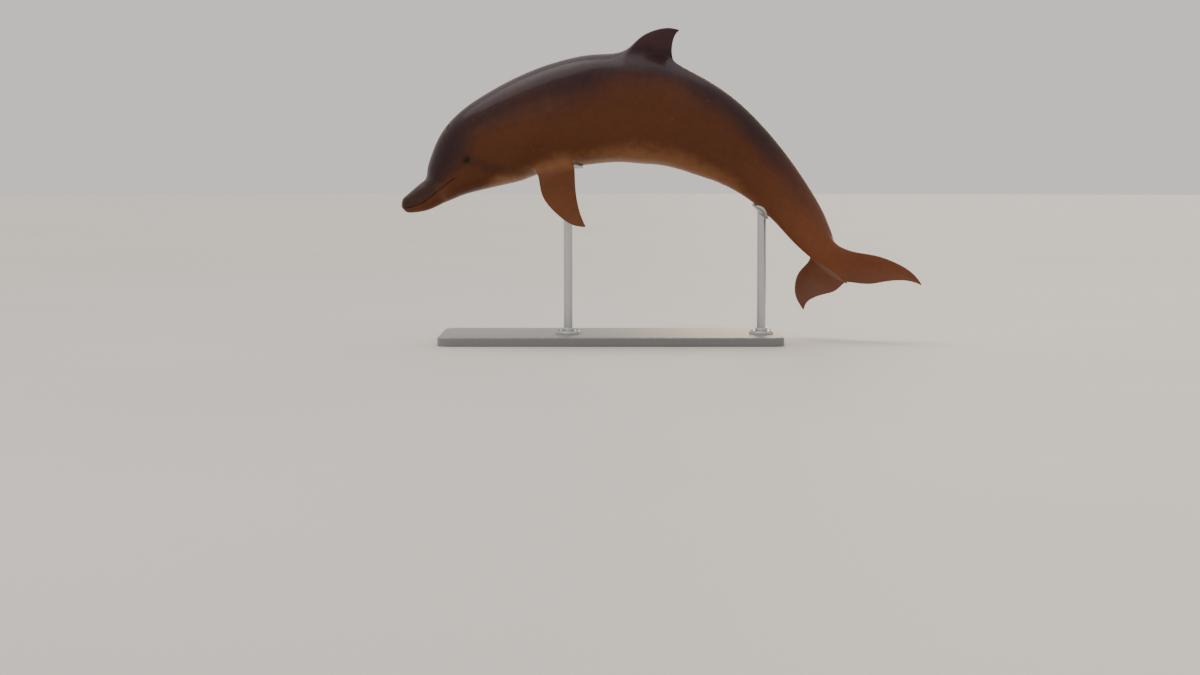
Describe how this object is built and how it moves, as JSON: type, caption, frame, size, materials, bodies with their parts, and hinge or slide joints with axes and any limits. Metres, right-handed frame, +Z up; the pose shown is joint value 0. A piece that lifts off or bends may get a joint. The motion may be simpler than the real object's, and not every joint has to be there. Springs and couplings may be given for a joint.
{
  "type": "bottlenose dolphin display model",
  "caption": "Life-size bottlenose dolphin arched in mid-leap, nose down, held on a plain flat display base by two short rods with shaped saddles.",
  "frame": {"origin": "On the floor, under the middle of the whole model's bounding box", "axes": "+X from the beak to the tail, +Y from the left flank to the right, +Z up"},
  "size_m": [2.3921, 0.7892, 1.4295],
  "materials": {
    "skin_grey": "smooth wet skin, brown-grey, darker on the back and paler on the belly",
    "skin_dark": "smooth wet skin, very dark slate brown",
    "skin_pale": "smooth wet skin, paler pinkish brown",
    "eye": "wet, nearly black brown",
    "base_paint": "satin grey paint",
    "rod_steel": "brushed steel"
  },
  "bodies": {
    "root": {"head": "skin_grey", "upper_jaw": "skin_grey", "lower_jaw": "skin_pale", "chest": "skin_grey", "trunk": "skin_grey", "tail_stock": "skin_grey", "dorsal_fin": "skin_dark", "flipper_left": "skin_dark", "flipper_right": "skin_dark", "fluke_left": "skin_dark", "fluke_right": "skin_dark", "eye_left": "eye", "eye_right": "eye", "stand_base": "base_paint", "stand_rod_front": "rod_steel", "stand_rod_rear": "rod_steel"}
  },
  "joints": []
}
